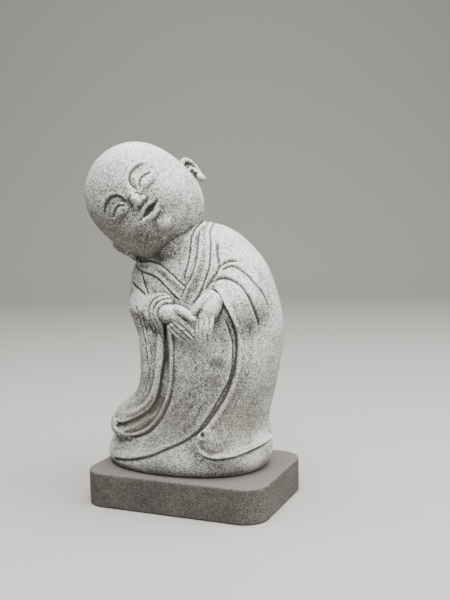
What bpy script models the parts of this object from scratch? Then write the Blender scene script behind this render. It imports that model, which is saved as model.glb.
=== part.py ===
"""A small garden figure of a smiling child monk, cast in one piece, on a low plinth."""

import math

import bmesh
import bpy
import numpy as np
from mathutils import Euler, Matrix, Vector
from mathutils.bvhtree import BVHTree

# Driving sizes, in metres
PLINTH_WIDTH = 0.24
PLINTH_DEPTH = 0.17
PLINTH_HEIGHT = 0.044
PLINTH_CORNER = 0.030
PLINTH_EDGE = 0.002
JOINT_GAP = 0.0003
FIGURE_HEIGHT = 0.4076

# The figure's forms are shares of its height, each about a millimetre, measured
# from the middle of its underside: x to the viewer's right, y to the back, z up.
SHARES_IN_HEIGHT = 407.6
SHARE = FIGURE_HEIGHT / SHARES_IN_HEIGHT
VOXEL = 1.5
HANDS_VOXEL = 0.9
HEAD_DETAIL = 6
FINISH_STEPS = 1
ROBE_TRIANGLES = 4100
HANDS_TRIANGLES = 1600
HEAD_TRIANGLES = 3200
EAR_TRIANGLES = 300
FACE_KEPT = 0.01
RING_POINTS = 96
BLEND_STEPS = 10
LINE_STEPS = 5

# The robe from the foot to the neck: height, middle x, half width, middle y, half depth
ROBE = (
    (-4, -12, 99, 4, 69),
    (0, -12, 101, 4, 71),
    (5, -11, 106, 3, 75),
    (18, -8, 109, 2, 77),
    (36, -5, 104, 2, 76),
    (60, 3, 93, 2, 74),
    (90, 16, 87, 1, 73),
    (125, 27, 84, 0, 73),
    (160, 26, 91, 0, 72),
    (199, 18, 98, 0, 69),
    (233, 14, 93.5, 0, 63),
    (260, 12.5, 83, 0, 56),
    (284, 11, 62, 2, 45),
    (297, 12, 43, 3, 35),
    (304, 17, 22, 4, 22),
    (307, 18, 8, 5, 8),
)
ROBE_SQUARENESS = 2.2
# The sleeve that hangs from the figure's right forearm and flares at its end
RIGHT_SLEEVE = (
    (37, -64, 8, -46, 6),
    (40, -64, 22, -46, 14),
    (47, -63, 30, -46, 21),
    (58, -60, 34, -46, 26),
    (72, -50, 38, -46, 29),
    (86, -38, 36, -46, 30),
    (100, -26, 30, -46, 30),
    (118, -21, 27, -46, 30),
    (140, -20, 27, -46, 29),
    (165, -22, 28, -44, 27),
    (190, -27, 27, -40, 24),
    (210, -33, 23, -33, 20),
    (228, -37, 15, -28, 14),
    (240, -38, 6, -26, 6),
)
# Swellings of the robe over the forearms and in the left sleeve's end: middle, reach, height
SWELLINGS = (
    ((-44, -56, 207), 32, 12),
    ((-24, -64, 204), 24, 7),
    ((90, -50, 222), 44, 11.5),
    ((82, -58, 206), 40, 4.5),
    ((64, -62, 50), 40, 5),
    ((46, -68, 50), 20, 4),
    ((30, -72, 150), 70, 4),
)
NECK = ((4, -8, 262, 43), (-10, -20, 288, 40), (-26, -32, 312, 38))

# Edges and folds of the robe. Points are x and z on its front, or x, y and z anywhere;
# the raised side of an edge is on the right hand of someone who walks along it outside.
BACK_HEM_TO_LEFT_LIP = (
    (-100, -15, 33), (-102, 20, 37), (-80, 52, 41), (0, 77, 44), (80, 54, 42), (102, 20, 39),
    (101, -3, 37), (98, -15, 36), (90, -35, 33), (79, -49, 30), (65, -60, 28), (54, -67, 28),
    (44, -70, 32), (37, -72, 39), (35, -71, 50), (39, -70, 58), (46, -68, 65), (53, -66, 75),
    (60, -63, 86), (69, -62, 100), (76, -61, 115), (81, -60, 130), (84, -59, 148), (85, -58, 165),
    (83, -58, 183), (80, -63, 201), (73, -66, 216), (62, -64, 228), (53, -60, 231),
)
FRONT_HEM = (
    (69, 201), (74, 189), (78, 172), (79, 158), (78, 141), (74, 124), (66, 108), (59, 96), (50, 81), (42, 70),
    (35, 61), (26, 53), (13, 45), (-6, 36), (-27, 26), (-58, 17), (-81, 13), (-92, 12),
)
RIGHT_SLEEVE_FLAP = (
    (-16, 190), (-10, 178), (-7, 163), (-6, 148), (-9, 128), (-13, 109), (-19, 93), (-29, 81), (-46, 71),
    (-66, 63), (-77, 64),
)
RIGHT_SLEEVE_CREST = (
    (-15, 176), (-12, 160), (-12, 146), (-14, 127), (-19, 108), (-27, 94), (-40, 83), (-62, 73),
)
RIGHT_SLEEVE_BACK_LIP = (
    (-83, 58), (-72, 52), (-55, 49), (-34, 56), (-17, 72), (-6, 91), (2, 113), (5, 130), (6, 146), (6, 164),
    (3, 180), (0, 191),
)
COLLAR_OUTER_EDGE = (
    (16, -66, 217), (7, -65, 224), (-4, -62, 233), (-17, -58, 243), (-32, -53, 248), (-50, -43, 252),
    (-62, -8, 262), (-40, 30, 282), (0, 32, 298), (24, 14, 306), (34, -10, 304), (38, -28, 297),
    (44, -41, 281), (47, -53, 258), (43, -59, 240), (39, -63, 227), (30, -67, 211),
)
COLLAR_INNER_EDGE = (
    (20, -61, 241), (21, -59, 249), (23, -55, 262), (23, -48, 275), (19, -35, 295), (22, -12, 306),
    (4, 16, 302), (-20, 22, 292), (-46, 0, 274), (-53, -36, 261), (-34, -47, 261), (-16, -54, 257),
    (-1, -59, 248), (11, -62, 239), (22, -63, 231),
)
COLLAR_OVERLAP = (
    (17, -66, 217), (22, -63, 233), (29, -60, 245), (32, -54, 261), (31, -43, 282), (26, -28, 299),
)
# Folds: how deep, how wide, and where
FOLDS = (
    (1.6, 3.5, ((50, 288), (55, 271), (59, 258), (56, 247), (51, 239), (42, 226))),
    (1.5, 3.0, ((-49, 253), (-45, 246), (-39, 237), (-26, 220))),
    (1.8, 3.0, ((-66, 236), (-54, 231), (-42, 228), (-28, 220))),
    (2.2, 3.5, ((56, 252), (64, 260), (72, 263), (82, 261))),
    (2.2, 3.5, (
        (58, -51, 250), (69, -45, 256), (78, -42, 257), (91, -40, 249), (102, -37, 236), (108, -27, 219),
        (111, -21, 204),
    )),
    (2.4, 3.5, ((50, 236), (62, 243), (76, 242), (91, 233), (100, 219), (104, 203), (105, 182))),
    (1.0, 5.0, ((-24, 150), (-26, 130), (-31, 112), (-42, 97))),
    (3.0, 12.0, ((-40, 64, 235), (-44, 68, 190), (-36, 72, 140), (-30, 74, 60))),
    (3.0, 12.0, ((24, 66, 245), (34, 70, 190), (36, 72, 140), (26, 74, 60))),
    (2.5, 10.0, ((-8, 66, 215), (-4, 72, 160), (-2, 74, 100), (-2, 75, 56))),
)
LEFT_SLEEVE_OPENING = ((84, 172), (83, 186), (80, 200), (75, 213), (69, 222), (63, 228), (56, 231))
RIGHT_SLEEVE_FOLD = ((-25, 132), (-26, 149), (-30, 167), (-36, 184), (-37, 202), (-43, 216))
SLEEVE_TIP_HOLLOW = (-78, 69)
SLEEVE_DRIP = (-60, 43)
SLEEVE_CORNER_HOLLOW = (43, 57)
SLEEVE_BACK_EDGES = (
    ((84, 38, 228), (90, 42, 190), (90, 44, 140), (84, 48, 90), (80, 52, 48)),
    ((-78, 50, 48), (-62, 50, 90), (-55, 50, 140), (-64, 46, 190), (-62, 42, 226)),
)

# The hands: each limb is points of x, y, z and radius
RIGHT_HAND = (
    ((-26, -60, 202, 9), (-14, -66, 203, 10.5), (0, -73, 202.5, 11.5), (10, -77, 201, 11)),
    ((2, -74, 202, 12), (14, -78.5, 200.5, 11), (23, -83, 197.5, 8.5), (29, -85.5, 194, 5.5)),
    ((14, -76, 206.5, 7), (24, -84.5, 207, 6), (35, -90, 203.5, 5), (43, -92, 199, 3.8)),
    ((24, -86, 197, 4.4), (35, -89, 190, 3.6), (45.5, -88, 178, 2.5)),
    ((19, -86, 194, 4.2), (31, -89, 185, 3.2), (41.4, -87.5, 174.8, 2.4)),
    ((14, -84.5, 190.5, 3.9), (26.5, -87.5, 181, 3.1), (37, -86.5, 172.2, 2.3)),
    ((9, -82, 187, 3.6), (20.5, -85, 177.8, 3.0), (30.5, -84.5, 170.4, 2.2)),
)
RIGHT_CUFF = (
    (
        (7, -75, 217, 2.4), (-2, -78, 215.5, 2.8), (-8, -81, 209, 3.0), (-9.5, -82, 201.5, 3.0),
        (-6.5, -80, 193.5, 2.8), (-6, -75, 184, 2.4), (-8, -68, 172, 2.0),
    ),
    (
        (2, -70, 221, 2.4), (-8, -74, 219, 2.8), (-14.5, -77, 213, 3.0), (-16.5, -79, 204, 3.0),
        (-14.5, -77.5, 195, 2.8), (-11.5, -73, 185, 2.4), (-12.5, -67, 175, 2.0),
    ),
    (
        (-4, -66, 223, 2.2), (-15, -69, 222, 2.8), (-22.5, -73, 215, 3.0), (-24.5, -76, 205, 3.0),
        (-22.5, -75, 195, 2.8), (-19, -70, 186, 2.4), (-20, -65, 177, 2.0),
    ),
)
LEFT_HAND = (
    ((86, -34, 219, 8), (78, -43, 217.5, 9), (70, -51.5, 217, 10), (63, -60, 216, 11.5)),
    ((59.5, -68, 216, 12.5), (57, -74.5, 209.5, 12.5), (54.5, -79, 202, 10.6), (53.5, -83, 195, 7.8)),
    ((57, -70, 223, 8), (50.5, -79, 217.5, 7), (45.5, -84.5, 211, 5.6), (41.5, -88, 204, 4)),
    ((48.2, -83.5, 201, 3.6), (48.2, -88.5, 189, 3.2), (47.8, -90, 175.5, 2.6)),
    ((52.7, -85, 202, 3.7), (53, -90, 189, 3.3), (51.9, -91, 173.5, 2.6)),
    ((57.4, -84.5, 202, 3.7), (57.8, -89, 189, 3.3), (56, -90, 174.5, 2.5)),
    ((62, -81.5, 202, 3.6), (62.2, -85.5, 190, 3.1), (60, -87, 177, 2.3)),
)

# The head: its middle, its shape, and its pose in degrees. The face's own points are x
# across and z up from the head's middle, for its left half; the right half mirrors it.
FACE_GROUP = "away_from_face"
FACE_HALF_WIDTH = 44
FACE_HALF_HEIGHT = 44
FACE_DRAWN = 0.9
HEAD_MIDDLE = (-45.5, -30, 334.5)
HEAD_RADIUS = 64.5
HEAD_CROWN = 14
HEAD_JAW = 11
HEAD_DEPTH = 67
HEAD_TURN = 27.5
HEAD_TILT = 49
FACE_TURN = -4.5
BROW = (
    (44, 22), (40, 29), (33, 34.5), (24.5, 37), (16.5, 35.8), (10.5, 31.5), (8, 25.5), (8.5, 18.5),
    (11, 12.5),
)
EYE = ((14.3, 14), (16.2, 18.6), (20.5, 21.3), (25, 21.5), (29.8, 20), (35.2, 16.8))
EAR_FOLD = ((63, 7, -16, 2.2), (67, 10, -18, 2.4), (68, 9, -24, 2.4))
PRESSED_EAR_MOVE = (3, 2, 1)
EYE_DEPTH = 3.0
EYE_WIDTH = 2.6
MOUTH_CORNER = (14, -9.2)
EAR_RIM = (
    (60, 1, -10, 2.6), (64, 2, -5, 3.0), (69, 7, -4, 3.2), (72, 12, -10, 3.2), (71.5, 14, -18, 3.0),
    (69.5, 12, -26, 3.2), (67, 7, -33, 3.4),
)


def clear_scene():
    for obj in list(bpy.data.objects):
        bpy.data.objects.remove(obj)


def smooth_through(points, steps):
    """A smooth curve through the points, with some steps from each to the next."""
    p = np.array(points, float)
    p = np.vstack([2 * p[0] - p[1], p, 2 * p[-1] - p[-2]])
    t = np.linspace(0, 1, steps, endpoint=False)[:, None]
    rows = []
    for a, b, c, d in zip(p[:-3], p[1:-2], p[2:-1], p[3:]):
        rows.append(
            0.5 * (2 * b + (c - a) * t + (2 * a - 5 * b + 4 * c - d) * t**2 + (3 * b - a - 3 * c + d) * t**3)
        )
    return np.vstack([*rows, p[-2]])


def ease(t):
    """A soft rise from 0 to 1."""
    t = np.clip(t, 0, 1)
    return t * t * (3 - 2 * t)


def bump(t):
    """A soft hump: 1 in the middle, 0 from t = 1 outwards."""
    return (1 - np.clip(t, -1, 1) ** 2) ** 2


def add_object(name, mesh):
    """An object in the scene from a bmesh or from mesh data."""
    if isinstance(mesh, bmesh.types.BMesh):
        data = bpy.data.meshes.new(name)
        mesh.to_mesh(data)
        mesh.free()
        mesh = data
    obj = bpy.data.objects.new(name, mesh)
    bpy.context.scene.collection.objects.link(obj)
    return obj


def applied(obj):
    """The object as a mesh, with its modifiers made part of it."""
    graph = bpy.context.evaluated_depsgraph_get()
    data = bpy.data.meshes.new_from_object(obj.evaluated_get(graph))
    name, place = obj.name, obj.matrix_world.copy()
    bpy.data.objects.remove(obj)
    done = add_object(name, data)
    done.matrix_world = place
    return done


def loft(name, rows, squareness=2.0, steps=4):
    """A closed form through level rings: rows of height, middle x, half width, middle y, half depth."""
    angles = np.linspace(0, 2 * math.pi, RING_POINTS, endpoint=False)
    power = 2 / squareness
    across = np.sign(np.cos(angles)) * np.abs(np.cos(angles)) ** power
    along = np.sign(np.sin(angles)) * np.abs(np.sin(angles)) ** power
    mesh = bmesh.new()
    rings = []
    for z, x, half_width, y, half_depth in smooth_through(rows, steps):
        ring = zip(x + half_width * across, y + half_depth * along)
        rings.append([mesh.verts.new(SHARE * Vector((px, py, z))) for px, py in ring])
    for low, high in zip(rings, rings[1:]):
        for i in range(RING_POINTS):
            j = (i + 1) % RING_POINTS
            mesh.faces.new((low[i], low[j], high[j], high[i]))
    mesh.faces.new(rings[0][::-1])
    mesh.faces.new(rings[-1])
    return add_object(name, mesh)


def ball(name, middle, radii, turn=(0, 0, 0), detail=5):
    """An ellipsoid, turned by degrees about x, y and z."""
    mesh = bmesh.new()
    bmesh.ops.create_icosphere(mesh, subdivisions=detail, radius=1.0)
    place = (
        Matrix.Translation(SHARE * Vector(middle))
        @ Euler([math.radians(d) for d in turn]).to_matrix().to_4x4()
        @ Matrix.Diagonal([SHARE * r for r in radii] + [1.0])
    )
    bmesh.ops.transform(mesh, matrix=place, verts=mesh.verts)
    return add_object(name, mesh)


def tube(name, points):
    """A round limb through points of x, y, z and radius, with a ball at each end."""
    curve = bpy.data.curves.new(name, "CURVE")
    curve.dimensions = "3D"
    curve.bevel_depth = SHARE
    curve.bevel_resolution = 6
    curve.use_fill_caps = True
    spline = curve.splines.new("POLY")
    rows = smooth_through(points, 6)
    spline.points.add(len(rows) - 1)
    for point, (x, y, z, radius) in zip(spline.points, rows):
        point.co = (*(SHARE * Vector((x, y, z))), 1)
        point.radius = radius
    limb = applied(add_object(name, curve))
    ends = [ball(name, p[:3], (p[3],) * 3) for p in (points[0], points[-1])]
    return joined(name, [limb, *ends])


def joined(name, parts):
    """All the parts' meshes in one object."""
    mesh = bmesh.new()
    for part in parts:
        mesh.from_mesh(part.data)
        bpy.data.objects.remove(part)
    return add_object(name, mesh)


def merged(name, parts, voxel=VOXEL):
    """One closed skin round all the parts."""
    obj = joined(name, parts)
    skin = obj.modifiers.new("skin", "REMESH")
    skin.mode = "VOXEL"
    skin.voxel_size = voxel * SHARE
    return applied(obj)


def blended(name, parts):
    """One skin round all the parts, softened where they meet."""
    obj = merged(name, parts, 2 * VOXEL)
    soften = obj.modifiers.new("soften", "SMOOTH")
    soften.factor = 0.5
    soften.iterations = BLEND_STEPS
    return merged(name, [applied(obj)])


class Skin:
    """The surface of an object while it is carved: every stroke adds to how far its points move out."""

    def __init__(self, obj):
        mesh = obj.data
        self.obj = obj
        self.points = np.empty(3 * len(mesh.vertices))
        self.out = np.empty(3 * len(mesh.vertices))
        mesh.vertices.foreach_get("co", self.points)
        mesh.vertex_normals.foreach_get("vector", self.out)
        self.points = self.points.reshape(-1, 3) / SHARE
        self.out = self.out.reshape(-1, 3)
        self.move = np.zeros(len(mesh.vertices))
        self.tree = BVHTree.FromObject(obj, bpy.context.evaluated_depsgraph_get())

    def place(self, point):
        """The skin's point and outward direction, in front at x and z, or nearest to x, y and z."""
        if len(point) == 3:
            found = self.tree.find_nearest(SHARE * Vector(point))
        else:
            x, z = point
            found = self.tree.ray_cast(SHARE * Vector((x, -SHARES_IN_HEIGHT, z)), Vector((0, 1, 0)))
        return np.array(found[0]) / SHARE, np.array(found[1])

    def follow(self, points, reach, fade):
        """The points near a line: which, how far off, on which side, and the line's strength there."""
        line, out = map(np.array, zip(*[self.place(p) for p in smooth_through(points, LINE_STEPS)]))
        start, run = line[:-1], np.diff(line, axis=0)
        length = np.linalg.norm(run, axis=1)
        inside = (self.points > line.min(0) - reach) & (self.points < line.max(0) + reach)
        near = np.flatnonzero(inside.all(1))
        offset = self.points[near][:, None] - start
        share = np.clip((offset * run).sum(2) / length**2, 0, 1)
        offset -= share[..., None] * run
        distance = np.linalg.norm(offset, axis=2)
        best = distance.argmin(1)
        row = np.arange(len(near))
        right = np.cross(run, out[:-1])
        side = np.sign((offset[row, best] * right[best]).sum(1))
        along = (np.cumsum(length) - length)[best] + share[row, best] * length[best]
        strength = ease(along / fade[0]) * ease((length.sum() - along) / fade[1])
        return near, distance[row, best], side, strength

    def ridge(self, points, height, width, fade=(6, 6)):
        """A rounded ridge along a line, or a groove where its height is negative."""
        near, distance, _, strength = self.follow(points, width, fade)
        self.move[near] += strength * height * bump(distance / width)

    def edge(self, points, high, low, fade=(6, 6), soft=1.3):
        """An edge along a line. high and low are how far each side moves and how far that reaches."""
        near, distance, side, strength = self.follow(points, max(high[1], low[1]), fade)
        up = high[0] * bump(distance / high[1])
        down = -low[0] * bump(distance / low[1])
        blend = ease(0.5 + distance * side / (2 * soft))
        self.move[near] += strength * (blend * up + (1 - blend) * down)

    def swell(self, middle, reach, height):
        """A broad soft swelling round a point."""
        distance = np.linalg.norm(self.points - middle, axis=1)
        self.move += height * bump(distance / reach)

    def boss(self, middle, radii, height, rim=1.0):
        """A small boss in front at x and z, or a hollow; a small rim makes its sides steep."""
        across = (self.points[:, 0] - middle[0]) / radii[0]
        up = (self.points[:, 2] - middle[1]) / radii[1]
        share = ease((1 - np.hypot(across, up)) / rim)
        self.move += np.where(self.out[:, 1] < 0, height * share, 0)

    def lens(self, middle, radii, height, rim=0.35):
        """A lens-shaped opening in front at x and z, deepest under its upper edge."""
        across = (self.points[:, 0] - middle[0]) / radii[0]
        up = (self.points[:, 2] - middle[1]) / radii[1]
        share = ease((1 - across**2 - np.abs(up)) / rim) * (0.75 + 0.25 * np.clip(up, -1, 1))
        self.move += np.where(self.out[:, 1] < 0, height * share, 0)

    def done(self):
        moved = SHARE * (self.points + self.move[:, None] * self.out)
        self.obj.data.vertices.foreach_set("co", moved.ravel())
        self.obj.data.update()
        return self.obj


def robe():
    core = loft("robe", ROBE, ROBE_SQUARENESS)
    sleeve = loft("right_sleeve", RIGHT_SLEEVE)
    skin = Skin(blended("robe", [core, sleeve, tube("neck", NECK)]))
    for middle, reach, height in SWELLINGS:
        skin.swell(middle, reach, height)
    return skin.done()


def beside(points, step):
    """The same line, moved by a step to its right-hand side as seen from the front."""
    line = np.array(points, float)
    run = np.gradient(line[:, [0, -1]], axis=0)
    run /= np.linalg.norm(run, axis=1)[:, None]
    line[:, [0, -1]] += step * np.stack([run[:, 1], -run[:, 0]], 1)
    return line


def carve_robe(obj):
    """The edges of the sleeves, hem and collar, and the folds."""
    skin = Skin(obj)
    skin.edge(BACK_HEM_TO_LEFT_LIP, high=(3.2, 18), low=(1.8, 5), fade=(30, 8), soft=1.2)
    skin.edge(BACK_HEM_TO_LEFT_LIP[5:17], high=(2.4, 10), low=(2.6, 5), fade=(16, 16), soft=1.0)
    skin.ridge(beside(BACK_HEM_TO_LEFT_LIP[10:25], 3), 1.2, 5, fade=(10, 20))
    skin.edge(LEFT_SLEEVE_OPENING, high=(4.0, 8), low=(3.0, 7), fade=(22, 14), soft=1.0)
    skin.edge(FRONT_HEM, high=(1.3, 12), low=(1.4, 7), fade=(14, 8), soft=0.8)
    skin.edge(RIGHT_SLEEVE_FLAP, high=(1.6, 9), low=(6, 10.5), fade=(12, 5), soft=1.5)
    skin.ridge(RIGHT_SLEEVE_CREST, 1.8, 4.0, fade=(14, 8))
    skin.ridge(beside(RIGHT_SLEEVE_CREST, 8), -1.4, 7, fade=(20, 10))
    skin.ridge(RIGHT_SLEEVE_BACK_LIP, 2.6, 3.6, fade=(8, 12))
    skin.edge(beside(RIGHT_SLEEVE_BACK_LIP[:7], 2.5)[::-1], high=(0.6, 4), low=(2.2, 5), fade=(16, 8))
    skin.edge(RIGHT_SLEEVE_FOLD, high=(1.3, 4), low=(1.2, 4), fade=(14, 14), soft=0.9)
    skin.boss(SLEEVE_TIP_HOLLOW, (5, 6), -8)
    skin.boss(SLEEVE_DRIP, (2.6, 4), 2.5)
    skin.boss(SLEEVE_CORNER_HOLLOW, (4, 5), -5)
    skin.edge(COLLAR_OUTER_EDGE, high=(1.2, 6), low=(1.3, 4), soft=0.8)
    skin.edge(COLLAR_INNER_EDGE, high=(1.2, 6), low=(1.2, 4), soft=0.8)
    skin.edge(COLLAR_OVERLAP, high=(1.2, 5), low=(0.8, 3), soft=0.8)
    for depth, width, points in FOLDS:
        skin.ridge(points, -depth, width, fade=(12, 12))
    for points in SLEEVE_BACK_EDGES:
        skin.edge(points, high=(3, 22), low=(2, 18), fade=(30, 20), soft=3)
    return skin.done()


def hands():
    """The hands that meet in front, and the folds of the right cuff."""
    return [tube("limb", points) for points in (*RIGHT_HAND, *RIGHT_CUFF, *LEFT_HAND)]


def head():
    """A round head, a little longer than wide, with its face to the front."""
    obj = ball("head", (0, 0, 0), (1, 1, 1), detail=HEAD_DETAIL)
    for vertex in obj.data.vertices:
        x, y, z = vertex.co / SHARE
        stretch = HEAD_CROWN if z > 0 else HEAD_JAW
        tall = HEAD_RADIUS * z + stretch * math.tanh(2.5 * z)
        vertex.co = SHARE * Vector((HEAD_RADIUS * x, HEAD_DEPTH * y, tall))
    obj = carve_face(obj)
    away = obj.vertex_groups.new(name=FACE_GROUP)
    for vertex in obj.data.vertices:
        x, y, z = vertex.co / SHARE
        outward = math.hypot(x / FACE_HALF_WIDTH, z / FACE_HALF_HEIGHT)
        share = 1 - FACE_DRAWN * ease(2.6 - 2 * outward) if y < 0 else 1
        away.add([vertex.index], share, "REPLACE")
    return obj


def mirrored(points):
    """The same line on the other side of the face, walked the other way."""
    return [(-p[0], *p[1:]) for p in reversed(points)]


def carve_face(obj):
    """Arched brows, closed smiling eyes, a button nose, an open smile and a round chin."""
    skin = Skin(obj)
    for brow, fade in ((BROW, (26, 10)), (mirrored(BROW), (10, 26))):
        skin.edge(brow, high=(0.8, 7), low=(1.9, 13), fade=fade, soft=0.7)
    for side in (-1, 1):
        skin.boss((25 * side, 26), (17, 11), -1.2)
        skin.boss((25 * side, 14.5), (15, 7), 1.8)
        skin.boss((31 * side, -10), (27, 24), 3)
    for eye in (EYE, mirrored(EYE)):
        skin.ridge([(x, z + 2.6) for x, z in eye], 0.8, 2.8, fade=(5, 5))
        skin.ridge([(x, z - 2.2) for x, z in eye], 0.9, 2.6, fade=(5, 5))
        skin.ridge(eye, -EYE_DEPTH, EYE_WIDTH, fade=(2, 3))
    skin.ridge(((0, 30), (0, 18), (0, 10)), 3.5, 8, fade=(14, 2))
    skin.boss((0, 9), (9.5, 9.5), 7)
    corner_x, corner_z = MOUTH_CORNER
    for side in (-1, 1):
        skin.boss((6.8 * side, 5.5), (4.6, 4.2), 2.2)
        skin.boss((5.0 * side, 2.6), (2.0, 1.6), -2.6)
        skin.boss((side * (corner_x + 0.6), corner_z + 0.8), (3, 2.4), -1.4)
    skin.ridge(((-13, -7.2), (-6, -4.4), (0, -3.6), (6, -4.4), (13, -7.2)), 1.2, 2.6)
    skin.ridge(((-12, -13.6), (-6, -16), (0, -16.8), (6, -16), (12, -13.6)), 1.7, 3.6)
    skin.lens((0, corner_z - 0.3), (corner_x, 4.6), -6, rim=0.3)
    skin.ridge(((-14.6, -8.4), (-7, -9.4), (0, -9.6), (7, -9.4), (14.6, -8.4)), -1.2, 1.9, fade=(2, 2))
    skin.boss((0, -33), (15, 12), 3.8)
    skin.ridge(((-40, -42), (-22, -49), (0, -52), (22, -49), (40, -42)), -1.2, 9, fade=(16, 16))
    return skin.done()


def ear(side):
    """A long-lobed ear: a thick rim and an inner fold round a shallow bowl, with the lobe below."""
    rim = tube("ear", [(side * x, y, z, r) for x, y, z, r in EAR_RIM])
    fold = tube("ear", [(side * x, y, z, r) for x, y, z, r in EAR_FOLD])
    bowl = ball("ear", (side * 64, 13.5, -16), (8, 5, 14), (0, 0, 20 * side))
    lobe = ball("ear", (side * 66.5, 6, -33.5), (4.4, 4.6, 6.5))
    return [rim, fold, bowl, lobe]


def posed_head():
    """The head and its ears, turned to the viewer's right and tilted to the left."""
    turn = Matrix.Rotation(math.radians(HEAD_TURN), 4, "Z")
    tilt = Matrix.Rotation(math.radians(HEAD_TILT), 4, Vector((0, -1, 0)))
    face_turn = Matrix.Rotation(math.radians(FACE_TURN), 4, "Z")
    pose = Matrix.Translation(SHARE * Vector(HEAD_MIDDLE)) @ turn @ tilt @ face_turn
    ears = [thinned(merged("ear", ear(side), HANDS_VOXEL), EAR_TRIANGLES) for side in (-1, 1)]
    ears[0].data.transform(Matrix.Translation(SHARE * Vector(PRESSED_EAR_MOVE)))
    parts = [thinned(head(), HEAD_TRIANGLES), *ears]
    for part in parts:
        part.data.transform(pose)
    return parts


def thinned(obj, triangles):
    """The object with its stair-steps smoothed away and about so many triangles, fewest away from a face."""
    soften = obj.modifiers.new("soften", "SMOOTH")
    soften.factor = 0.5
    soften.iterations = FINISH_STEPS
    thin = obj.modifiers.new("thin", "DECIMATE")
    thin.ratio = triangles / sum(len(face.vertices) - 2 for face in obj.data.polygons)
    if FACE_GROUP in obj.vertex_groups:
        thin.vertex_group = FACE_GROUP
        thin.vertex_group_factor = FACE_KEPT
    return applied(obj)


def united(obj, others):
    """The object and the others as one solid."""
    for other in others:
        join = obj.modifiers.new("join", "BOOLEAN")
        join.operation = "UNION"
        join.solver = "EXACT"
        join.object = other
    solid = applied(obj)
    for other in others:
        bpy.data.objects.remove(other)
    return solid


def figure():
    """The whole cast figure, with a flat underside."""
    robed = thinned(carve_robe(robe()), ROBE_TRIANGLES)
    robed.name = "monk"
    hands_pair = thinned(merged("hands", hands(), HANDS_VOXEL), HANDS_TRIANGLES)
    obj = united(robed, [hands_pair, *posed_head()])
    mesh = bmesh.new()
    mesh.from_mesh(obj.data)
    everything = mesh.verts[:] + mesh.edges[:] + mesh.faces[:]
    bmesh.ops.bisect_plane(
        mesh, geom=everything, plane_co=(0, 0, 0), plane_no=(0, 0, 1), dist=1e-6, clear_inner=True
    )
    bmesh.ops.holes_fill(mesh, edges=[edge for edge in mesh.edges if edge.is_boundary], sides=0)
    bmesh.ops.triangulate(mesh, faces=mesh.faces)
    mesh.to_mesh(obj.data)
    mesh.free()
    obj.data.shade_smooth()
    return obj


def plinth():
    """A low block with round corners and slightly worn edges, standing on the ground."""
    mesh = bmesh.new()
    bmesh.ops.create_cube(mesh, size=1.0)
    size = Matrix.Diagonal((PLINTH_WIDTH, PLINTH_DEPTH, PLINTH_HEIGHT, 1.0))
    bmesh.ops.transform(mesh, matrix=size, verts=mesh.verts)
    upright = [e for e in mesh.edges if abs(e.verts[0].co.z - e.verts[1].co.z) > 0.5 * PLINTH_HEIGHT]
    bmesh.ops.bevel(mesh, geom=upright, offset=PLINTH_CORNER, segments=8, profile=0.5, affect="EDGES")
    level = [e for e in mesh.edges if abs(e.verts[0].co.z - e.verts[1].co.z) < 0.5 * PLINTH_HEIGHT]
    bmesh.ops.bevel(mesh, geom=level, offset=PLINTH_EDGE, segments=2, profile=0.5, affect="EDGES")
    obj = add_object("plinth", mesh)
    obj.location.z = PLINTH_HEIGHT / 2
    return obj


def material(name, colour, roughness):
    made = bpy.data.materials.new(name)
    made.use_nodes = True
    shader = made.node_tree.nodes["Principled BSDF"]
    shader.inputs["Base Color"].default_value = (*colour, 1.0)
    shader.inputs["Roughness"].default_value = roughness
    shader.inputs["Metallic"].default_value = 0.0
    return made


def main():
    clear_scene()
    statue = bpy.data.collections.new("monk_statue")
    bpy.context.scene.collection.children.link(statue)
    base = plinth()
    base.data.materials.append(material("dark_cast_stone", (0.075, 0.068, 0.062), 0.85))
    monk = figure()
    monk.location.z = PLINTH_HEIGHT + JOINT_GAP
    monk.data.materials.append(material("brushed_cast_stone", (0.27, 0.27, 0.255), 0.9))
    for piece in (base, monk):
        statue.objects.link(piece)
        bpy.context.scene.collection.objects.unlink(piece)


main()
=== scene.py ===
"""How the figure of the smiling child monk looks: its carved surface, its stone with pale brushing and
painted light and shade, and its plinth.
"""

import math

import bmesh
import bpy
import numpy as np
from mathutils import Euler, Matrix, Vector
from mathutils.bvhtree import BVHTree


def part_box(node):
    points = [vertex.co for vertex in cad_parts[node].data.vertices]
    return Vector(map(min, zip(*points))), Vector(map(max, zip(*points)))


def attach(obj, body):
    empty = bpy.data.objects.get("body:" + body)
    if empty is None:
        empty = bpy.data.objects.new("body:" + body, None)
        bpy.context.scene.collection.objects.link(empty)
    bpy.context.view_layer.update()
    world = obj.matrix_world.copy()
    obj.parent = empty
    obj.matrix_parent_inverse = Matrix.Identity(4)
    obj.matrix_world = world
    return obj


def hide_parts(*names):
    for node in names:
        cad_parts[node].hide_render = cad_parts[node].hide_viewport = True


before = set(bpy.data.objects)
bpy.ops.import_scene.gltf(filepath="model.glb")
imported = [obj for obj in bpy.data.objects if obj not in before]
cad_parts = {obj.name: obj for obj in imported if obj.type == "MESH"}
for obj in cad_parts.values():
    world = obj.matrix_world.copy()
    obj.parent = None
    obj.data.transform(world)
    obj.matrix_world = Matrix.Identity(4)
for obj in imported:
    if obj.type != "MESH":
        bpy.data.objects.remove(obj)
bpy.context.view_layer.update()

PLINTH_LOW, PLINTH_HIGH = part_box("plinth")
MONK_LOW, MONK_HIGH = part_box("monk")

# The figure's forms are shares of its height, each about a millimetre, measured
# from the middle of its underside: x to the viewer's right, y to the back, z up.
SHARES_IN_HEIGHT = 407.6
SHARE = (MONK_HIGH.z - MONK_LOW.z) / SHARES_IN_HEIGHT
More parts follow.
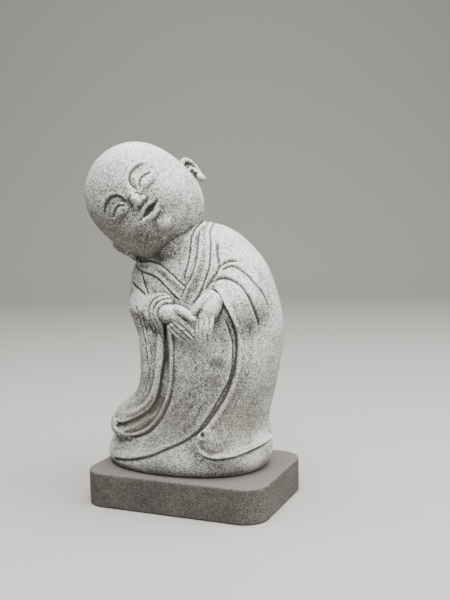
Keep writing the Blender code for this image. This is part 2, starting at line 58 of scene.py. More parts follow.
# How fine the skins' voxels are, in shares, and how many triangles each skin keeps
VOXEL = 1.1
HANDS_VOXEL = 0.6
PLINTH_VOXEL = 1.3
ROBE_TRIANGLES = 90000
HANDS_TRIANGLES = 24000
HEAD_TRIANGLES = 60000
EAR_TRIANGLES = 5000
# How finely the forms are divided before that
RING_POINTS = 160
RING_STEPS = 4
TUBE_STEPS = 6
LINE_STEPS = 6
BALL_DETAIL = 5
HEAD_DETAIL = 7
# How many times a surface is smoothed
BLEND_STEPS = 20
FINISH_STEPS = 1
PLINTH_STEPS = 2
# The plinth's round corners and worn edges, in metres
PLINTH_CORNER = 0.030
PLINTH_EDGE = 0.002

# The robe from the foot to the neck: height, middle x, half width, middle y, half depth
ROBE = (
    (-4, -12, 99, 4, 69),
    (0, -12, 101, 4, 71),
    (5, -11, 106, 3, 75),
    (18, -8, 109, 2, 77),
    (36, -5, 104, 2, 76),
    (60, 3, 93, 2, 74),
    (90, 16, 87, 1, 73),
    (125, 27, 84, 0, 73),
    (160, 26, 91, 0, 72),
    (199, 18, 98, 0, 69),
    (233, 14, 93.5, 0, 63),
    (260, 12.5, 83, 0, 56),
    (284, 11, 62, 2, 45),
    (297, 12, 43, 3, 35),
    (304, 17, 22, 4, 22),
    (307, 18, 8, 5, 8),
)
ROBE_SQUARENESS = 2.2
# The sleeve that hangs from the figure's right forearm and flares at its end
RIGHT_SLEEVE = (
    (37, -64, 8, -46, 6),
    (40, -64, 22, -46, 14),
    (47, -63, 30, -46, 21),
    (58, -60, 34, -46, 26),
    (72, -50, 38, -46, 29),
    (86, -38, 36, -46, 30),
    (100, -26, 30, -46, 30),
    (118, -21, 27, -46, 30),
    (140, -20, 27, -46, 29),
    (165, -22, 28, -44, 27),
    (190, -27, 27, -40, 24),
    (210, -33, 23, -33, 20),
    (228, -37, 15, -28, 14),
    (240, -38, 6, -26, 6),
)
# Swellings of the robe over the forearms and in the left sleeve's end: middle, reach, height
SWELLINGS = (
    ((-44, -56, 207), 32, 12),
    ((-24, -64, 204), 24, 7),
    ((90, -50, 222), 44, 11.5),
    ((82, -58, 206), 40, 4.5),
    ((64, -62, 50), 40, 5),
    ((46, -68, 50), 20, 4),
    ((30, -72, 150), 70, 4),
)
NECK = ((4, -8, 262, 43), (-10, -20, 288, 40), (-26, -32, 312, 38))
# Edges and folds of the robe. Points are x and z on its front, or x, y and z anywhere;
# the raised side of an edge is on the right hand of someone who walks along it outside.
BACK_HEM_TO_LEFT_LIP = (
    (-100, -15, 33), (-102, 20, 37), (-80, 52, 41), (0, 77, 44), (80, 54, 42), (102, 20, 39),
    (101, -3, 37), (98, -15, 36), (90, -35, 33), (79, -49, 30), (65, -60, 28), (54, -67, 28),
    (44, -70, 32), (37, -72, 39), (35, -71, 50), (39, -70, 58), (46, -68, 65), (53, -66, 75),
    (60, -63, 86), (69, -62, 100), (76, -61, 115), (81, -60, 130), (84, -59, 148), (85, -58, 165),
    (83, -58, 183), (80, -63, 201), (73, -66, 216), (62, -64, 228), (53, -60, 231),
)
FRONT_HEM = (
    (69, 201), (74, 189), (78, 172), (79, 158), (78, 141), (74, 124), (66, 108), (59, 96), (50, 81), (42, 70),
    (35, 61), (26, 53), (13, 45), (-6, 36), (-27, 26), (-58, 17), (-81, 13), (-92, 12),
)
RIGHT_SLEEVE_FLAP = (
    (-16, 190), (-10, 178), (-7, 163), (-6, 148), (-9, 128), (-13, 109), (-19, 93), (-29, 81), (-46, 71),
    (-66, 63), (-77, 64),
)
RIGHT_SLEEVE_CREST = (
    (-15, 176), (-12, 160), (-12, 146), (-14, 127), (-19, 108), (-27, 94), (-40, 83), (-62, 73),
)
RIGHT_SLEEVE_BACK_LIP = (
    (-83, 58), (-72, 52), (-55, 49), (-34, 56), (-17, 72), (-6, 91), (2, 113), (5, 130), (6, 146), (6, 164),
    (3, 180), (0, 191),
)
COLLAR_OUTER_EDGE = (
    (16, -66, 217), (7, -65, 224), (-4, -62, 233), (-17, -58, 243), (-32, -53, 248), (-50, -43, 252),
    (-62, -8, 262), (-40, 30, 282), (0, 32, 298), (24, 14, 306), (34, -10, 304), (38, -28, 297),
    (44, -41, 281), (47, -53, 258), (43, -59, 240), (39, -63, 227), (30, -67, 211),
)
COLLAR_INNER_EDGE = (
    (20, -61, 241), (21, -59, 249), (23, -55, 262), (23, -48, 275), (19, -35, 295), (22, -12, 306),
    (4, 16, 302), (-20, 22, 292), (-46, 0, 274), (-53, -36, 261), (-34, -47, 261), (-16, -54, 257),
    (-1, -59, 248), (11, -62, 239), (22, -63, 231),
)
COLLAR_OVERLAP = (
    (17, -66, 217), (22, -63, 233), (29, -60, 245), (32, -54, 261), (31, -43, 282), (26, -28, 299),
)
# Folds: how deep, how wide, and where. Each fades out over so many of its own widths.
FOLD_FADE = 3.4
FOLDS = (
    (1.6, 3.5, ((50, 288), (55, 271), (59, 258), (56, 247), (51, 239), (42, 226))),
    (1.5, 3.0, ((-49, 253), (-45, 246), (-39, 237), (-26, 220))),
    (1.8, 3.0, ((-66, 236), (-54, 231), (-42, 228), (-28, 220))),
    (2.2, 3.5, ((56, 252), (64, 260), (72, 263), (82, 261))),
    (2.2, 3.5, (
        (58, -51, 250), (69, -45, 256), (78, -42, 257), (91, -40, 249), (102, -37, 236), (108, -27, 219),
        (111, -21, 204),
    )),
    (2.4, 3.5, ((50, 236), (62, 243), (76, 242), (91, 233), (100, 219), (104, 203), (105, 182))),
    (1.0, 5.0, ((-24, 150), (-26, 130), (-31, 112), (-42, 97))),
    (3.0, 12.0, ((-40, 64, 235), (-44, 68, 190), (-36, 72, 140), (-30, 74, 60))),
    (3.0, 12.0, ((24, 66, 245), (34, 70, 190), (36, 72, 140), (26, 74, 60))),
    (2.5, 10.0, ((-8, 66, 215), (-4, 72, 160), (-2, 74, 100), (-2, 75, 56))),
)
# More edges, marks and hollows of the sleeves
LEFT_SLEEVE_OPENING = ((84, 172), (83, 186), (80, 200), (75, 213), (69, 222), (63, 228), (56, 231))
RIGHT_SLEEVE_FOLD = ((-25, 132), (-26, 149), (-30, 167), (-36, 184), (-37, 202), (-43, 216))
SLEEVE_TIP_HOLLOW = (-78, 69)
SLEEVE_DRIP = (-60, 43)
SLEEVE_CORNER_HOLLOW = (43, 57)
SLEEVE_BACK_EDGES = (
    ((84, 38, 228), (90, 42, 190), (90, 44, 140), (84, 48, 90), (80, 52, 48)),
    ((-78, 50, 48), (-62, 50, 90), (-55, 50, 140), (-64, 46, 190), (-62, 42, 226)),
)
# The hands: each limb is points of x, y, z and radius
RIGHT_HAND = (
    ((-26, -60, 202, 9), (-14, -66, 203, 10.5), (0, -73, 202.5, 11.5), (10, -77, 201, 11)),
    ((2, -74, 202, 12), (14, -78.5, 200.5, 11), (23, -83, 197.5, 8.5), (29, -85.5, 194, 5.5)),
    ((14, -76, 206.5, 7), (24, -84.5, 207, 6), (35, -90, 203.5, 5), (43, -92, 199, 3.8)),
    ((24, -86, 197, 4.4), (35, -89, 190, 3.6), (45.5, -88, 178, 2.5)),
    ((19, -86, 194, 4.2), (31, -89, 185, 3.2), (41.4, -87.5, 174.8, 2.4)),
    ((14, -84.5, 190.5, 3.9), (26.5, -87.5, 181, 3.1), (37, -86.5, 172.2, 2.3)),
    ((9, -82, 187, 3.6), (20.5, -85, 177.8, 3.0), (30.5, -84.5, 170.4, 2.2)),
)
RIGHT_CUFF = (
    (
        (7, -75, 217, 2.4), (-2, -78, 215.5, 2.8), (-8, -81, 209, 3.0), (-9.5, -82, 201.5, 3.0),
        (-6.5, -80, 193.5, 2.8), (-6, -75, 184, 2.4), (-8, -68, 172, 2.0),
    ),
    (
        (2, -70, 221, 2.4), (-8, -74, 219, 2.8), (-14.5, -77, 213, 3.0), (-16.5, -79, 204, 3.0),
        (-14.5, -77.5, 195, 2.8), (-11.5, -73, 185, 2.4), (-12.5, -67, 175, 2.0),
    ),
    (
        (-4, -66, 223, 2.2), (-15, -69, 222, 2.8), (-22.5, -73, 215, 3.0), (-24.5, -76, 205, 3.0),
        (-22.5, -75, 195, 2.8), (-19, -70, 186, 2.4), (-20, -65, 177, 2.0),
    ),
)
LEFT_HAND = (
    ((86, -34, 219, 8), (78, -43, 217.5, 9), (70, -51.5, 217, 10), (63, -60, 216, 11.5)),
    ((59.5, -68, 216, 12.5), (57, -74.5, 209.5, 12.5), (54.5, -79, 202, 10.6), (53.5, -83, 195, 7.8)),
    ((57, -70, 223, 8), (50.5, -79, 217.5, 7), (45.5, -84.5, 211, 5.6), (41.5, -88, 204, 4)),
    ((48.2, -83.5, 201, 3.6), (48.2, -88.5, 189, 3.2), (47.8, -90, 175.5, 2.6)),
    ((52.7, -85, 202, 3.7), (53, -90, 189, 3.3), (51.9, -91, 173.5, 2.6)),
    ((57.4, -84.5, 202, 3.7), (57.8, -89, 189, 3.3), (56, -90, 174.5, 2.5)),
    ((62, -81.5, 202, 3.6), (62.2, -85.5, 190, 3.1), (60, -87, 177, 2.3)),
)
# The head: its middle, its shape, and its pose in degrees. The face's own points are x
# across and z up from the head's middle, for its left half; the right half mirrors it.
HEAD_MIDDLE = (-45.5, -30, 334.5)
HEAD_RADIUS = 64.5
HEAD_CROWN = 14
HEAD_JAW = 11
HEAD_DEPTH = 67
HEAD_TURN = 27.5
HEAD_TILT = 49
FACE_TURN = -4.5
BROW = (
    (44, 22), (40, 29), (33, 34.5), (24.5, 37), (16.5, 35.8), (10.5, 31.5), (8, 25.5), (8.5, 18.5),
    (11, 12.5),
)
EYE = ((14.3, 14), (16.2, 18.6), (20.5, 21.3), (25, 21.5), (29.8, 20), (35.2, 16.8))
EYE_DEPTH = 3.0
EYE_WIDTH = 1.8
MOUTH_CORNER = (14, -9.2)
# The ears: limbs as for the hands, and how far the ear pressed to the shoulder is moved
EAR_RIM = (
    (60, 1, -10, 2.6), (64, 2, -5, 3.0), (69, 7, -4, 3.2), (72, 12, -10, 3.2), (71.5, 14, -18, 3.0),
    (69.5, 12, -26, 3.2), (67, 7, -33, 3.4),
)
EAR_FOLD = ((63, 7, -16, 2.2), (67, 10, -18, 2.4), (68, 9, -24, 2.4))
PRESSED_EAR_MOVE = (3, 2, 1)
# The two stones' dark, middle and pale colours; the colour of dirty grooves, which also paints shade where
# the figure encloses a point; and the painted shade on surfaces that face down
BRUSHED_COLOURS = ((0.060, 0.058, 0.048), (0.26, 0.255, 0.23), (0.78, 0.78, 0.75))
DARK_COLOURS = ((0.055, 0.05, 0.044), (0.076, 0.069, 0.059), (0.15, 0.137, 0.12))
DIRT_AND_SHADE = (0.045, 0.042, 0.034)
UNDERSIDE_SHADE = (0.085, 0.080, 0.058)
# Stains on the stone, painted shadows and painted highlights, in metres: middle, reach, colour and strength
STAINS_AND_PAINTED_LIGHT = (
    # Painted shade, brownish, where the head meets the collar on the viewer's left
    ((-0.050, -0.050, 0.313), 0.013, (0.095, 0.052, 0.025), 0.85),
    # Painted shade under the chin and jaw
    ((0.022, -0.062, 0.336), 0.022, (0.12, 0.11, 0.08), 0.5),
    # A painted highlight on the chin
    ((0.001, -0.073, 0.354), 0.012, (0.66, 0.65, 0.61), 0.4),
    # A painted highlight on the nose tip
    ((-0.022, -0.098, 0.380), 0.008, (0.70, 0.69, 0.66), 0.5),
    # A painted shadow of the head on the collar below the chin
    ((-0.018, -0.054, 0.310), 0.017, (0.035, 0.033, 0.023), 0.85),
    # Painted shade on the robe below the left hand
    ((0.062, -0.070, 0.190), 0.012, (0.07, 0.068, 0.060), 0.8),
    ((0.058, -0.072, 0.168), 0.015, (0.11, 0.10, 0.09), 0.6),
    # Painted shade: darker and olive towards the bottom of the robe
    ((0.080, -0.045, 0.105), 0.060, (0.23, 0.22, 0.15), 0.45),
    ((-0.050, -0.070, 0.125), 0.055, (0.20, 0.19, 0.13), 0.4),
    ((0.005, -0.074, 0.110), 0.055, (0.14, 0.13, 0.11), 0.45),
    ((-0.020, -0.080, 0.062), 0.035, (0.16, 0.157, 0.147), 0.4),
    ((0.092, -0.030, 0.060), 0.022, (0.70, 0.69, 0.66), 0.55),
)
# The floor, in metres: its near edge, where it starts to rise, its bend, top and width.
# Its turn is in degrees, square to the way the camera looks.
FLOOR_NEAR = -6.0
FLOOR_FAR = 2.2
FLOOR_BEND = 1.0
FLOOR_BEND_STEPS = 12
FLOOR_TOP = 3.0
FLOOR_WIDTH = 12.0
FLOOR_TURN = 22
FLOOR_COLOUR = (0.38, 0.37, 0.345)
SKY_COLOUR = (0.85, 0.92, 1.0)
SKY_STRENGTH = 0.09
# Lights: name, place, size and power; they all aim at the middle of the figure
LIGHTS = (
    ("top", (0.3, -0.35, 2.1), 2.4, 190.0),
    ("side", (1.7, 0.2, 1.1), 1.0, 24.0),
)
LIGHT_AIM = (0, 0, 0.25)
# The camera: where it is, which way it looks, which way is up, and its lens in millimetres
CAMERA_PLACE = (0.4743, -1.0285, 0.3864)
CAMERA_AHEAD = (-0.3822, 0.9167, -0.1170)
CAMERA_UP = (-0.0274, 0.1153, 0.9930)
CAMERA_LENS = 54.12
SENSOR_HEIGHT = 36.0


def smooth_through(points, steps):
    """A smooth curve through the points, with some steps from each to the next."""
    p = np.array(points, float)
    p = np.vstack([2 * p[0] - p[1], p, 2 * p[-1] - p[-2]])
    t = np.linspace(0, 1, steps, endpoint=False)[:, None]
    rows = []
    for a, b, c, d in zip(p[:-3], p[1:-2], p[2:-1], p[3:]):
        rows.append(
            0.5 * (2 * b + (c - a) * t + (2 * a - 5 * b + 4 * c - d) * t**2 + (3 * b - a - 3 * c + d) * t**3)
        )
    return np.vstack([*rows, p[-2]])


def ease(t):
    """A soft rise from 0 to 1."""
    t = np.clip(t, 0, 1)
    return t * t * (3 - 2 * t)


def bump(t):
    """A soft hump: 1 in the middle, 0 from t = 1 outwards."""
    return (1 - np.clip(t, -1, 1) ** 2) ** 2


def add_object(name, mesh):
    """An object in the scene from a bmesh or from mesh data."""
    if isinstance(mesh, bmesh.types.BMesh):
        data = bpy.data.meshes.new(name)
        mesh.to_mesh(data)
        mesh.free()
        mesh = data
    obj = bpy.data.objects.new(name, mesh)
    bpy.context.scene.collection.objects.link(obj)
    return obj


def applied(obj):
    """The object as a mesh, with its modifiers made part of it."""
    graph = bpy.context.evaluated_depsgraph_get()
    data = bpy.data.meshes.new_from_object(obj.evaluated_get(graph))
    name, place = obj.name, obj.matrix_world.copy()
    bpy.data.objects.remove(obj)
    done = add_object(name, data)
    done.matrix_world = place
    return done


def loft(name, rows, squareness=2.0):
    """A closed form through level rings: rows of height, middle x, half width, middle y, half depth."""
    angles = np.linspace(0, 2 * math.pi, RING_POINTS, endpoint=False)
    power = 2 / squareness
    across = np.sign(np.cos(angles)) * np.abs(np.cos(angles)) ** power
    along = np.sign(np.sin(angles)) * np.abs(np.sin(angles)) ** power
    mesh = bmesh.new()
    rings = []
    for z, x, half_width, y, half_depth in smooth_through(rows, RING_STEPS):
        ring = zip(x + half_width * across, y + half_depth * along)
        rings.append([mesh.verts.new(SHARE * Vector((px, py, z))) for px, py in ring])
    for low, high in zip(rings, rings[1:]):
        for i in range(RING_POINTS):
            j = (i + 1) % RING_POINTS
            mesh.faces.new((low[i], low[j], high[j], high[i]))
    mesh.faces.new(rings[0][::-1])
    mesh.faces.new(rings[-1])
    return add_object(name, mesh)


def ball(name, middle, radii, turn=(0, 0, 0), detail=BALL_DETAIL):
    """An ellipsoid, turned by degrees about x, y and z."""
    mesh = bmesh.new()
    bmesh.ops.create_icosphere(mesh, subdivisions=detail, radius=1.0)
    place = (
        Matrix.Translation(SHARE * Vector(middle))
        @ Euler([math.radians(d) for d in turn]).to_matrix().to_4x4()
        @ Matrix.Diagonal([SHARE * r for r in radii] + [1.0])
    )
    bmesh.ops.transform(mesh, matrix=place, verts=mesh.verts)
    return add_object(name, mesh)


def tube(name, points):
    """A round limb through points of x, y, z and radius, with a ball at each end."""
    curve = bpy.data.curves.new(name, "CURVE")
    curve.dimensions = "3D"
    curve.bevel_depth = SHARE
    curve.bevel_resolution = 6
    curve.use_fill_caps = True
    spline = curve.splines.new("POLY")
    rows = smooth_through(points, TUBE_STEPS)
    spline.points.add(len(rows) - 1)
    for point, (x, y, z, radius) in zip(spline.points, rows):
        point.co = (*(SHARE * Vector((x, y, z))), 1)
        point.radius = radius
    limb = applied(add_object(name, curve))
    ends = [ball(name, p[:3], (p[3],) * 3) for p in (points[0], points[-1])]
    return joined(name, [limb, *ends])


def joined(name, parts):
    """All the parts' meshes in one object."""
    mesh = bmesh.new()
    for part in parts:
        mesh.from_mesh(part.data)
        bpy.data.objects.remove(part)
    return add_object(name, mesh)


def soften(obj, steps):
    """Smooths the object's surface so many times."""
    smoothing = obj.modifiers.new("soften", "SMOOTH")
    smoothing.factor = 0.5
    smoothing.iterations = steps


def merged(name, parts, voxel=VOXEL):
    """One closed skin round all the parts."""
    obj = joined(name, parts)
    skin = obj.modifiers.new("skin", "REMESH")
    skin.mode = "VOXEL"
    skin.voxel_size = voxel * SHARE
    return applied(obj)


def blended(name, parts):
    """One skin round all the parts, softened where they meet."""
    obj = merged(name, parts, 2 * VOXEL)
    soften(obj, BLEND_STEPS)
    return merged(name, [applied(obj)])


class Skin:
    """The surface of an object while it is carved: every stroke adds to how far its points move out."""

    def __init__(self, obj):
        mesh = obj.data
        self.obj = obj
        self.points = np.empty(3 * len(mesh.vertices))
        self.out = np.empty(3 * len(mesh.vertices))
        mesh.vertices.foreach_get("co", self.points)
        mesh.vertex_normals.foreach_get("vector", self.out)
        self.points = self.points.reshape(-1, 3) / SHARE
        self.out = self.out.reshape(-1, 3)
        self.move = np.zeros(len(mesh.vertices))
        self.tree = BVHTree.FromObject(obj, bpy.context.evaluated_depsgraph_get())

    def place(self, point):
        """The skin's point and outward direction, in front at x and z, or nearest to x, y and z."""
        if len(point) == 3:
            found = self.tree.find_nearest(SHARE * Vector(point))
        else:
            x, z = point
            found = self.tree.ray_cast(SHARE * Vector((x, -SHARES_IN_HEIGHT, z)), Vector((0, 1, 0)))
        return np.array(found[0]) / SHARE, np.array(found[1])

    def follow(self, points, reach, fade):
        """The points near a line: which, how far off, on which side, and the line's strength there."""
        line, out = map(np.array, zip(*[self.place(p) for p in smooth_through(points, LINE_STEPS)]))
        start, run = line[:-1], np.diff(line, axis=0)
        length = np.linalg.norm(run, axis=1)
        inside = (self.points > line.min(0) - reach) & (self.points < line.max(0) + reach)
        near = np.flatnonzero(inside.all(1))
        offset = self.points[near][:, None] - start
        share = np.clip((offset * run).sum(2) / length**2, 0, 1)
        offset -= share[..., None] * run
        distance = np.linalg.norm(offset, axis=2)
        best = distance.argmin(1)
        row = np.arange(len(near))
        right = np.cross(run, out[:-1])
        side = np.sign((offset[row, best] * right[best]).sum(1))
        along = (np.cumsum(length) - length)[best] + share[row, best] * length[best]
        strength = ease(along / fade[0]) * ease((length.sum() - along) / fade[1])
        return near, distance[row, best], side, strength

    def ridge(self, points, height, width, fade=(6, 6)):
        """A rounded ridge along a line, or a groove where its height is negative."""
        near, distance, _, strength = self.follow(points, width, fade)
        self.move[near] += strength * height * bump(distance / width)

    def edge(self, points, high, low, fade=(6, 6), soft=1.3):
        """An edge along a line. high and low are how far each side moves and how far that reaches."""
        near, distance, side, strength = self.follow(points, max(high[1], low[1]), fade)
        up = high[0] * bump(distance / high[1])
        down = -low[0] * bump(distance / low[1])
        blend = ease(0.5 + distance * side / (2 * soft))
        self.move[near] += strength * (blend * up + (1 - blend) * down)

    def swell(self, middle, reach, height):
        """A broad soft swelling round a point."""
        distance = np.linalg.norm(self.points - middle, axis=1)
        self.move += height * bump(distance / reach)

    def boss(self, middle, radii, height):
        """A small boss in front at x and z, or a hollow where its height is negative."""
        across = (self.points[:, 0] - middle[0]) / radii[0]
        up = (self.points[:, 2] - middle[1]) / radii[1]
        share = ease(1 - np.hypot(across, up))
        self.move += np.where(self.out[:, 1] < 0, height * share, 0)

    def lens(self, middle, radii, height, rim):
        """A lens-shaped opening in front at x and z, deepest under its upper edge. A small rim is steep."""
        across = (self.points[:, 0] - middle[0]) / radii[0]
        up = (self.points[:, 2] - middle[1]) / radii[1]
        share = ease((1 - across**2 - np.abs(up)) / rim) * (0.75 + 0.25 * np.clip(up, -1, 1))
        self.move += np.where(self.out[:, 1] < 0, height * share, 0)

    def done(self):
        """The object with all the strokes in its mesh."""
        moved = SHARE * (self.points + self.move[:, None] * self.out)
        self.obj.data.vertices.foreach_set("co", moved.ravel())
        self.obj.data.update()
        return self.obj


def robe():
    """The robe's body, right sleeve and neck as one soft form, before it is carved."""
    core = loft("robe", ROBE, ROBE_SQUARENESS)
    sleeve = loft("right_sleeve", RIGHT_SLEEVE)
    skin = Skin(blended("robe", [core, sleeve, tube("neck", NECK)]))
    for middle, reach, height in SWELLINGS:
        skin.swell(middle, reach, height)
    return skin.done()


def beside(points, step):
    """The same line, moved by a step to its right-hand side as seen from the front."""
    line = np.array(points, float)
    run = np.gradient(line[:, [0, -1]], axis=0)
    run /= np.linalg.norm(run, axis=1)[:, None]
    line[:, [0, -1]] += step * np.stack([run[:, 1], -run[:, 0]], 1)
    return line


def carve_robe(obj):
    """The edges of the sleeves, hem and collar, and the folds."""
    skin = Skin(obj)
    skin.edge(BACK_HEM_TO_LEFT_LIP, high=(3.2, 18), low=(1.8, 5), fade=(30, 8), soft=1.2)
    skin.edge(BACK_HEM_TO_LEFT_LIP[5:17], high=(2.4, 10), low=(2.6, 5), fade=(16, 16), soft=1.0)
    skin.ridge(beside(BACK_HEM_TO_LEFT_LIP[10:25], 3), 1.2, 5, fade=(10, 20))
    skin.edge(LEFT_SLEEVE_OPENING, high=(4.0, 8), low=(3.0, 7), fade=(22, 14), soft=1.0)
    skin.edge(FRONT_HEM, high=(1.3, 12), low=(1.4, 7), fade=(14, 8), soft=0.8)
    skin.edge(RIGHT_SLEEVE_FLAP, high=(1.6, 9), low=(6, 10.5), fade=(12, 5), soft=1.5)
    skin.ridge(RIGHT_SLEEVE_CREST, 1.8, 4.0, fade=(14, 8))
    skin.ridge(beside(RIGHT_SLEEVE_CREST, 8), -1.4, 7, fade=(20, 10))
    skin.ridge(RIGHT_SLEEVE_BACK_LIP, 2.6, 3.6, fade=(8, 12))
    skin.edge(beside(RIGHT_SLEEVE_BACK_LIP[:7], 2.5)[::-1], high=(0.6, 4), low=(2.2, 5), fade=(16, 8))
    skin.edge(RIGHT_SLEEVE_FOLD, high=(1.3, 4), low=(1.2, 4), fade=(14, 14), soft=0.9)
    skin.boss(SLEEVE_TIP_HOLLOW, (5, 6), -8)
    skin.boss(SLEEVE_DRIP, (2.6, 4), 2.5)
    skin.boss(SLEEVE_CORNER_HOLLOW, (4, 5), -5)
    skin.edge(COLLAR_OUTER_EDGE, high=(1.2, 6), low=(1.3, 4), soft=0.8)
    skin.edge(COLLAR_INNER_EDGE, high=(1.2, 6), low=(1.2, 4), soft=0.8)
    skin.edge(COLLAR_OVERLAP, high=(1.2, 5), low=(0.8, 3), soft=0.8)
    for depth, width, points in FOLDS:
        skin.ridge(points, -depth, width, fade=(FOLD_FADE * width, FOLD_FADE * width))
    for points in SLEEVE_BACK_EDGES:
        skin.edge(points, high=(3, 22), low=(2, 18), fade=(30, 20), soft=3)
    return skin.done()


def hands():
    """The hands that meet in front, and the folds of the right cuff."""
    return [tube("limb", points) for points in (*RIGHT_HAND, *RIGHT_CUFF, *LEFT_HAND)]


def head():
    """A round head, a little longer than wide, with its face to the front."""
    obj = ball("head", (0, 0, 0), (1, 1, 1), detail=HEAD_DETAIL)
    for vertex in obj.data.vertices:
        x, y, z = vertex.co / SHARE
        stretch = HEAD_CROWN if z > 0 else HEAD_JAW
        tall = HEAD_RADIUS * z + stretch * math.tanh(2.5 * z)
        vertex.co = SHARE * Vector((HEAD_RADIUS * x, HEAD_DEPTH * y, tall))
    return carve_face(obj)


def mirrored(points):
    """The same line on the other side of the face, walked the other way."""
    return [(-p[0], *p[1:]) for p in reversed(points)]


def carve_face(obj):
    """Arched brows, closed smiling eyes, a button nose, an open smile and a round chin."""
    skin = Skin(obj)
    for brow, fade in ((BROW, (26, 10)), (mirrored(BROW), (10, 26))):
        skin.edge(brow, high=(0.8, 7), low=(1.9, 13), fade=fade, soft=0.7)
    for side in (-1, 1):
        skin.boss((25 * side, 26), (17, 11), -1.2)
        skin.boss((25 * side, 14.5), (15, 7), 1.8)
        skin.boss((31 * side, -10), (27, 24), 3)
    for eye in (EYE, mirrored(EYE)):
        skin.ridge([(x, z + 2.6) for x, z in eye], 0.8, 2.8, fade=(5, 5))
        skin.ridge([(x, z - 2.2) for x, z in eye], 0.9, 2.6, fade=(5, 5))
        skin.ridge(eye, -EYE_DEPTH, EYE_WIDTH, fade=(2, 3))
    skin.ridge(((0, 30), (0, 18), (0, 10)), 3.5, 8, fade=(14, 2))
    skin.boss((0, 9), (9.5, 9.5), 5.5)
    corner_x, corner_z = MOUTH_CORNER
    for side in (-1, 1):
        skin.boss((6.8 * side, 5.5), (4.6, 4.2), 2.2)
        skin.boss((5.0 * side, 2.6), (2.0, 1.6), -2.6)
        skin.boss((side * (corner_x + 0.6), corner_z + 0.8), (3, 2.4), -1.4)
    skin.ridge(((-13, -7.2), (-6, -4.4), (0, -3.6), (6, -4.4), (13, -7.2)), 1.2, 2.6)
    skin.ridge(((-12, -13.6), (-6, -16), (0, -16.8), (6, -16), (12, -13.6)), 1.7, 3.6)
    skin.lens((0, corner_z - 0.3), (corner_x, 4.6), -6, rim=0.3)
    skin.ridge(((-14.6, -8.4), (-7, -9.4), (0, -9.6), (7, -9.4), (14.6, -8.4)), -1.2, 1.9, fade=(2, 2))
    skin.boss((0, -33), (15, 12), 3.8)
    skin.ridge(((-40, -42), (-22, -49), (0, -52), (22, -49), (40, -42)), -1.2, 9, fade=(16, 16))
    return skin.done()


def ear(side):
    """A long-lobed ear: a thick rim and an inner fold round a shallow bowl, with the lobe below."""
    rim = tube("ear", [(side * x, y, z, r) for x, y, z, r in EAR_RIM])
    fold = tube("ear", [(side * x, y, z, r) for x, y, z, r in EAR_FOLD])
    bowl = ball("ear", (side * 64, 13.5, -16), (8, 5, 14), (0, 0, 20 * side))
    lobe = ball("ear", (side * 66.5, 6, -33.5), (4.4, 4.6, 6.5))
    return [rim, fold, bowl, lobe]


def posed_head():
    """The head and its ears, turned to the viewer's right and tilted to the left."""
    turn = Matrix.Rotation(math.radians(HEAD_TURN), 4, "Z")
    tilt = Matrix.Rotation(math.radians(HEAD_TILT), 4, Vector((0, -1, 0)))
    face_turn = Matrix.Rotation(math.radians(FACE_TURN), 4, "Z")
    pose = Matrix.Translation(SHARE * Vector(HEAD_MIDDLE)) @ turn @ tilt @ face_turn
    ears = [thinned(merged("ear", ear(side), HANDS_VOXEL), EAR_TRIANGLES) for side in (-1, 1)]
    ears[0].data.transform(Matrix.Translation(SHARE * Vector(PRESSED_EAR_MOVE)))
    parts = [thinned(head(), HEAD_TRIANGLES), *ears]
    for part in parts:
        part.data.transform(pose)
    return parts


def neighbours_mean(values, edges, counts):
    """Each point's mean of its neighbours' values."""
    total = np.zeros_like(values)
    for near, far in ((edges[:, 0], edges[:, 1]), (edges[:, 1], edges[:, 0])):
        for axis in range(values.shape[1]):
            total[:, axis] += np.bincount(near, values[far, axis], len(values))
    return total / counts[:, None]


def spread(mesh, values, rounds):
    """The points' values, each round replaced by the mean of their neighbours'."""
    edges = np.empty(2 * len(mesh.edges), int)
    mesh.edges.foreach_get("vertices", edges)
    edges = edges.reshape(-1, 2)
    counts = np.bincount(edges.ravel(), minlength=len(values))
    for _ in range(rounds):
        values = neighbours_mean(values, edges, counts)
    return values


def mark(mesh, name, values):
    """Stores one value for each point, for the material to read."""
    mesh.attributes.new(name, "FLOAT", "POINT").data.foreach_set("value", values)


def points_and_normals(mesh):
    """The mesh's points, and the outward direction at each."""
    points, out = np.empty((2, 3 * len(mesh.vertices)))
    mesh.vertices.foreach_get("co", points)
    mesh.vertex_normals.foreach_get("vector", out)
    return points.reshape(-1, 3), out.reshape(-1, 3)


def mark_raised(mesh, rounds, reach):
    """Marks how far each point stands out of its surroundings, from -1 in a groove to 1 on a ridge."""
    points, out = points_and_normals(mesh)
    height = ((points - spread(mesh, points, rounds)) * out).sum(1) / reach
    mark(mesh, "raised", np.clip(height, -1, 1))


def mark_enclosed(mesh, reach, rays):
    """Marks how much of the view out of each point the object itself blocks within a reach, for the material
    to paint as shade.
    """
    points, out = points_and_normals(mesh)
    faces = [face.vertices[:] for face in mesh.polygons]
    tree = BVHTree.FromPolygons(points.tolist(), faces)
    blocked = np.zeros(len(points))
    lift = 0.0004
    starts = (points + lift * out).tolist()
    for i in range(rays):
        height = 1 - (i + 0.5) / rays
        turn = math.pi * (1 + math.sqrt(5)) * i
        flat = math.sqrt(1 - height**2)
        aim = np.array((flat * math.cos(turn), flat * math.sin(turn), height))
        helper = np.where(np.abs(out[:, :1]) < 0.7, (1.0, 0.0, 0.0), (0.0, 1.0, 0.0))
        side = np.cross(out, helper)
        side /= np.linalg.norm(side, axis=1)[:, None]
        ways = aim[0] * side + aim[1] * np.cross(out, side) + aim[2] * out
        hits = [tree.ray_cast(start, way, reach)[0] is not None for start, way in zip(starts, ways.tolist())]
        blocked += np.array(hits)
    mark(mesh, "enclosed", spread(mesh, blocked[:, None] / rays, 2)[:, 0])


